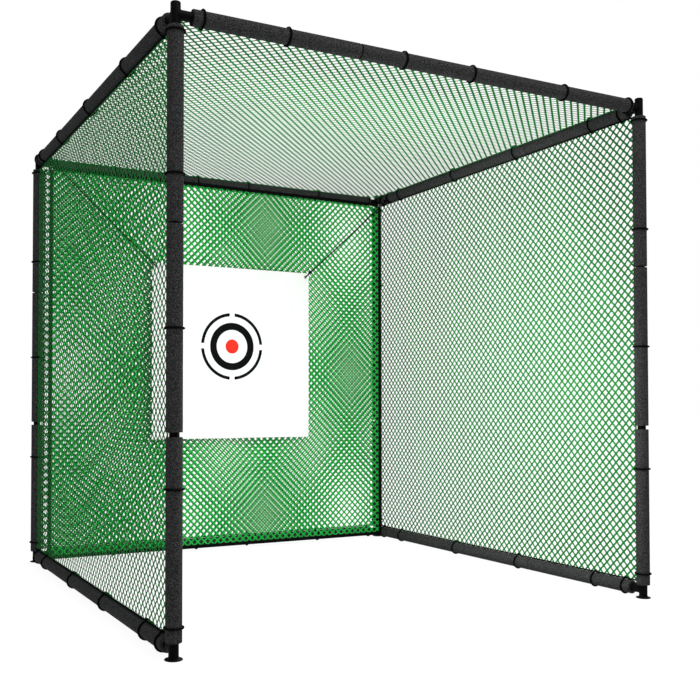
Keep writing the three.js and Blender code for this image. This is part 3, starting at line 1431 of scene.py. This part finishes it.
@dataclass(frozen=True)
class ImpactNet:
    """The inner net that takes the ball: green netting bound all round with black webbing."""

    book: FinishBook
    layout: CageLayout
    body: str = "impact_net"
    node: str = "impact_net"
    border: float = 0.027
    webbing: float = 0.0012
    # How much of the binding's thickness its edges are rounded by.
    round_over: float = 0.32
    billow: float = 0.010
    # How much of the binding's width lies over the netting's edge, and where its stitches run.
    overlap: float = 0.2
    stitch_line: float = 0.72
    stitch: float = 0.009
    stitch_swing: float = 0.0028
    thread: float = 0.0006
    tie_radius: float = 0.0032
    mesh: DiamondMesh = field(default_factory=lambda: DiamondMesh(
        width=0.0109, pitch=(0.05488, 0.05416), first=(-1.38785, -1.40874)))

    @property
    def binding_thickness(self) -> float:
        """How thick the binding is: two layers of webbing, and the netting between them."""
        return 2 * (self.webbing + self.mesh.thickness * 1.1)

    def build(self) -> None:
        """Makes the netting, the binding, its stitches and the corner ties."""
        low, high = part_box(self.node)
        width, height = high.x - low.x, high.z - low.z
        place = Facing.BACK.to_place(self.node)
        inner_width, inner_height = (size - 2 * self.border * (1 - self.overlap) for size in (width, height))
        netting = moved(self.mesh.lattice(inner_width, inner_height, -self.billow), place)
        piece = self.book.finished("impact_net_mesh", netting, Finish.IMPACT_NETTING, self.body, 75.0, self.node)
        edging = [self.bind(width, height, place), self.sew(width, height, place)]
        inset = self.border / 2
        self.tie(place @ Vector((width / 2 - inset, height / 2 - inset, 0.0)))

    def bind(self, width: float, height: float, place: Matrix) -> Piece:
        """Makes the webbing that is folded over the net's edge.

        Args:
            width: the net's width.
            height: its height.
            place: puts the net's own plane in its place.

        Returns:
            The piece.
        """
        mesh = bmesh.new()
        bmesh.ops.create_grid(mesh, x_segments=1, y_segments=1, size=0.5)
        bmesh.ops.scale(mesh, vec=(width, height, 1.0), verts=mesh.verts)
        inner = bmesh.ops.inset_region(mesh, faces=mesh.faces[:], thickness=self.border,
                                       use_boundary=True, use_even_offset=True)
        middle = [face for face in mesh.faces if face not in inner["faces"]]
        bmesh.ops.delete(mesh, geom=middle, context="FACES")
        thickness = self.binding_thickness
        moved(mesh, Matrix.Translation(-UP * (thickness / 2)))
        bmesh.ops.solidify(mesh, geom=mesh.faces[:], thickness=thickness)
        bmesh.ops.recalc_face_normals(mesh, faces=mesh.faces)
        heights = [vert.co.z for vert in mesh.verts]
        moved(mesh, Matrix.Translation(-UP * ((min(heights) + max(heights)) / 2)))
        sharp = [edge for edge in mesh.edges if edge.calc_face_angle(0.0) > 1.0]
        bmesh.ops.bevel(mesh, geom=sharp, affect="EDGES", offset=thickness * self.round_over, segments=3,
                        profile=0.5, material=-1)
        return self.book.finished("impact_net_binding", moved(mesh, place), Finish.BORDER, self.body)

    def sew(self, width: float, height: float, place: Matrix) -> Piece:
        """Makes a row of zigzag thread along the inner side of the binding, on both faces.

        Args:
            width: the net's width.
            height: its height.
            place: puts the net's own plane in its place.

        Returns:
            The piece.
        """
        face = self.binding_thickness / 2 + CLEARANCE / 2
        x, y = (size / 2 - self.border * self.stitch_line for size in (width, height))
        corners = [Vector((-x, -y, 0)), Vector((x, -y, 0)), Vector((x, y, 0)), Vector((-x, y, 0))]
        paths = []
        for side in (-1, 1):
            points = []
            for start, end in zip(corners, corners[1:] + corners[:1]):
                along = (end - start).normalized()
                across = along.cross(UP)
                count = round((end - start).length / self.stitch)
                for step in range(count):
                    swing = self.stitch_swing if step % 2 else -self.stitch_swing
                    points.append(start.lerp(end, step / count) + across * swing + UP * (side * face))
            paths.append(Path(points, closed=True))
        mesh = moved(swept(paths, self.thread, sides=4), place)
        return self.book.finished("impact_net_stitching", mesh, Finish.ELASTIC, self.body, 80.0)

    def tie(self, corner: Vector) -> None:
        """Makes an eyelet in each upper corner, and the loop that ties it to the side rail.

        Args:
            corner: where the right eyelet sits.
        """
        turns = RailTurns(self.layout, self.tie_radius, bite=0.0006, share=1.0, spread=1.15, draw=0.1)
        for side, sign in LEFT_RIGHT:
            point = Vector((sign * corner.x, corner.y, corner.z))
            Eyelet(self.book).build(f"impact_net_eyelet_{side}", point, self.body)
            self.book.corded(f"impact_net_tie_{side}", turns.paths(point), self.tie_radius, Finish.ELASTIC, ROOT)


# ---------------------------------------------------------------------------
# Target
# ---------------------------------------------------------------------------


@dataclass(frozen=True)
class Eyelet:
    """A pressed two-part eyelet, its axis along Y."""

    book: FinishBook
    hole: float = 0.0072
    flange: float = 0.0145
    grip: float = 0.0016
    curl: float = 0.0016

    def build(self, name: str, centre: Vector, body: str) -> Piece:
        """Makes an eyelet.

        Args:
            name: the piece's name.
            centre: its middle.
            body: the body that it rides on.

        Returns:
            The piece.
        """
        reach = self.grip + self.curl
        barrel = self.hole + self.curl * 1.4
        half = [(self.hole, reach * 0.6), (self.hole + self.curl, reach), (self.flange - self.curl, reach),
                (self.flange, self.grip), (barrel, self.grip * 0.6)]
        outline = [(radius, -height) for radius, height in half] + half[::-1]
        place = Matrix.Translation(centre) @ turned_to(INTO["back"])
        return self.book.finished(name, moved(spun(outline, steps=32), place), Finish.EYELET, body, 50.0)


@dataclass(frozen=True)
class TargetSheet:
    """A square of printed canvas, hemmed all round, with an eyelet in each upper corner."""

    book: FinishBook
    body: str = "target"
    node: str = "target_sheet"
    cells: int = 67
    hem_cells: int = 1
    cloth: float = 0.0011
    # The hem's thickness and how far it stands forward, as shares of the cloth's thickness.
    hem_cloth: float = 0.8
    hem_forward: float = 1.4
    ripple: float = 0.0035
    eyelet_inset: float = 0.032

    def box(self) -> tuple[float, Vector]:
        """The sheet's side and its middle."""
        low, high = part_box(self.node)
        return high.x - low.x, (low + high) / 2

    def eyelets(self) -> list[Vector]:
        """Where the eyelets sit.

        Returns:
            The middle of the left one and of the right one.
        """
        side, centre = self.box()
        reach = side / 2 - self.eyelet_inset
        return [centre + Vector((sign * reach, 0.0, reach)) for _, sign in LEFT_RIGHT]

    def wave(self, x: float, z: float) -> float:
        """How far the cloth stands out of its flat plane.

        Args:
            x: the place across the sheet, from -0.5 to 0.5.
            z: the place up the sheet, from -0.5 to 0.5.

        Returns:
            The offset along Y.
        """
        loose = 1.0 - 0.65 * (0.5 + z)
        swell = math.cos(math.pi * x) * math.sin(2.2 * math.pi * (x + 0.08)) * loose
        drape = noise.noise(Vector((2.1 * x, 1.3 * z, 4.7))) * loose
        strain = 0.0
        for sign in (-1, 1):
            # From the eyelet, at 0.48 each way.
            aside, down = 0.48 - sign * x, 0.48 - z
            away = math.hypot(aside, down)
            strain += math.sin(9.0 * math.atan2(down, aside)) * math.exp(-away * 5.0) * min(1.0, away * 14.0)
        return self.ripple * (swell + 1.2 * drape + 0.55 * strain)

    def panel(self, keep_ring: int | None, offset: float, thickness: float) -> Mesh:
        """The sheet, or the outer rings of its cells, as cloth of a given thickness.

        Args:
            keep_ring: how many outer rings of cells to keep, or None for the whole sheet.
            offset: how far in front of the sheet's middle the cloth's front face lies.
            thickness: the cloth's thickness.

        Returns:
            The mesh, in place.
        """
        side, centre = self.box()
        mesh = bmesh.new()
        bmesh.ops.create_grid(mesh, x_segments=self.cells, y_segments=self.cells, size=side / 2)
        if keep_ring is not None:
            limit = side / 2 - keep_ring * side / self.cells
            inner = [face for face in mesh.faces
                     if max(abs(n) for n in face.calc_center_median().xy) < limit]
            bmesh.ops.delete(mesh, geom=inner, context="FACES")
        moved(mesh, Matrix.Rotation(math.pi / 2, 4, "X"))
        for vert in mesh.verts:
            vert.co.y += self.wave(vert.co.x / side, vert.co.z / side) - offset
        moved(mesh, Matrix.Translation(centre))
        bmesh.ops.recalc_face_normals(mesh, faces=mesh.faces)
        if sum(face.normal.y for face in mesh.faces) > 0:
            bmesh.ops.reverse_faces(mesh, faces=mesh.faces)
        bmesh.ops.solidify(mesh, geom=mesh.faces[:], thickness=thickness)
        bmesh.ops.recalc_face_normals(mesh, faces=mesh.faces)
        return mesh

    def build(self) -> None:
        """Makes the cloth, its hem and its eyelets."""
        side, _ = self.box()
        canvas = self.panel(None, self.cloth / 2, self.cloth)
        sheet = self.book.finished("target_sheet_canvas", canvas, Finish.CANVAS, self.body, node=self.node)
        fold = self.panel(self.hem_cells, self.cloth * self.hem_forward, self.cloth * self.hem_cloth)
        hem = self.book.finished("target_sheet_hem", fold, Finish.CANVAS, self.body)
        eyelets = [Eyelet(self.book).build(f"target_eyelet_{name}", place, self.body)
                   for (name, _), place in zip(LEFT_RIGHT, self.eyelets())]


@dataclass(frozen=True)
class TargetCords:
    """The two cords that hang the target sheet from the top side rails."""

    book: FinishBook
    layout: CageLayout
    body: str = "target"
    radius: float = 0.0055
    # A cord runs from its tie on the rail to its eyelet, and its middle hangs a little low.
    tie: Triple = (1.437, 1.250, 2.915)
    eyelet: Triple = (0.638, 1.243, 2.196)
    sag: float = 0.006
    length: float = 1.075
    points: int = 24
    bight: float = 0.064
    knot_reach: float = 0.024
    knot_steps: int = 42
    # Sizes as shares of the cord's radius: a knot, the cord pulled tight in it, and the turned-back end.
    knot_size: float = 0.62
    knot_cord: float = 0.85
    end_cord: float = 0.9

    def route(self, sign: int) -> list[Vector]:
        """The line of one cord.

        Args:
            sign: 1 for the right cord, -1 for the left one.

        Returns:
            Points from its tie down to its eyelet.
        """
        tie = Vector((sign * self.tie[0], *self.tie[1:]))
        eyelet = Vector((sign * self.eyelet[0], *self.eyelet[1:]))
        middle = tie.lerp(eyelet, 0.5) - UP * (2 * self.sag)
        shares = [step / self.points for step in range(self.points + 1)]
        return [tie.lerp(middle, share).lerp(middle.lerp(eyelet, share), share) for share in shares]

    def turn_back(self, name: str, end: Vector, along: Vector) -> Piece:
        """The cord's end, through its eyelet and back behind the sheet to the knot.

        Args:
            name: the piece's name.
            end: where the cord meets its eyelet.
            along: the way the cord runs down to it.

        Returns:
            The piece.
        """
        shape = ((-0.003, 0.0), (0.002, 0.002), (0.003, 0.006), (0.001, 0.0125), (-0.006, 0.0135),
                 (-0.045, 0.0125), (0.004 - self.bight, 0.005))
        route = [end + along * forward + INTO["front"] * back for forward, back in shape]
        radius = self.radius * self.end_cord
        return self.book.corded(name, [Path(route)], radius, Finish.CORD, self.body, sides=10)

    def knot(self, name: str, centre: Vector, along: Vector) -> Piece:
        """An overhand knot: a trefoil pulled tight round the cord.

        Args:
            name: the piece's name.
            centre: the knot's middle.
            along: the way the cord runs.

        Returns:
            The piece.
        """
        place = Matrix.Translation(centre) @ turned_to(along) @ Matrix.Scale(self.radius * self.knot_size, 4)
        points = []
        for step in range(self.knot_steps):
            angle = math.tau * step / self.knot_steps
            reach = 2 + math.cos(3 * angle)
            spot = (reach * math.cos(2 * angle), reach * math.sin(2 * angle), 1.6 * math.sin(3 * angle))
            points.append(place @ Vector(spot))
        path = Path(points, closed=True)
        return self.book.corded(name, [path], self.radius * self.knot_cord, Finish.CORD, self.body)

    def build(self) -> None:
        """Makes both cords, with their knots and the turns round the rails."""
        turns = RailTurns(self.layout, self.radius, bite=0.0005, share=0.9, spread=1.05)
        for side, sign in LEFT_RIGHT:
            node = f"target_cord_{side}"
            line = self.route(sign)
            cord = tubing(f"{node}_braid", [Path(line)], self.radius, resolution=4)
            self.book.dress(cord, Finish.CORD, self.body, node)
            self.book.corded(f"{node}_rail_turns", turns.paths(line[0]), self.radius, Finish.CORD, ROOT)
            along = (line[-1] - line[0]).normalized()
            knots = [self.knot(f"{node}_top_knot", line[0] + along * self.knot_reach, along),
                     self.knot(f"{node}_eyelet_knot", line[-1] - along * self.bight, along),
                     self.turn_back(f"{node}_bight", line[-1], along)]


# ---------------------------------------------------------------------------
# Assembly
# ---------------------------------------------------------------------------


def main() -> None:
    """Builds the studio, the cords, the frame, the nets and the target, in that order."""
    logging.basicConfig(level=logging.INFO, format="%(name)s: %(message)s")
    layout = CageLayout()
    print_rise = 0.050
    book = FinishBook(TargetPrint(centre_x=-0.012, centre_z=centre_of("target_sheet", 2) + print_rise))

    Studio().build()
    log.info("camera, lights and floor")
    TargetCords(book, layout).build()
    log.info("two target cords")

    tubes, sleeves, loops = TubeSections(book), FoamSleeves(book), ElasticLoops(book, layout)
    for run in layout.runs():
        log.info("%s: %d tube sections, %d foam sleeves, %d elastic loops",
                 run.name, tubes.build(run), sleeves.build(run), loops.build(run))
    log.info("%d corner fittings", CornerFittings(book, layout).build())

    sides = ("low", "high")
    for name, facing, ropes, sag, held_by in (
        ("left_net", Facing.SIDE, sides, 0.004, ("top_left", "bottom_left")),
        ("right_net", Facing.SIDE, sides, -0.004, ("top_right", "bottom_right")),
        ("back_net", Facing.BACK, (*sides, "near", "far"), -0.004, ("top_back", "bottom_back")),
        ("roof_net", Facing.ROOF, (), -0.012, ("top_front", "top_back")),
    ):
        rails = tuple(f"{rail}_rail_foam" for rail in held_by)
        CageNet(book, layout, name, facing, ropes, sag, rails).build()
        log.info("%s: netting, border ropes and selvedges", name)
    ImpactNet(book, layout).build()
    log.info("impact net: netting, binding, stitches, eyelets and ties")
    TargetSheet(book).build()
    log.info("target sheet: canvas, hem and eyelets")


if __name__ == "__main__":
    main()
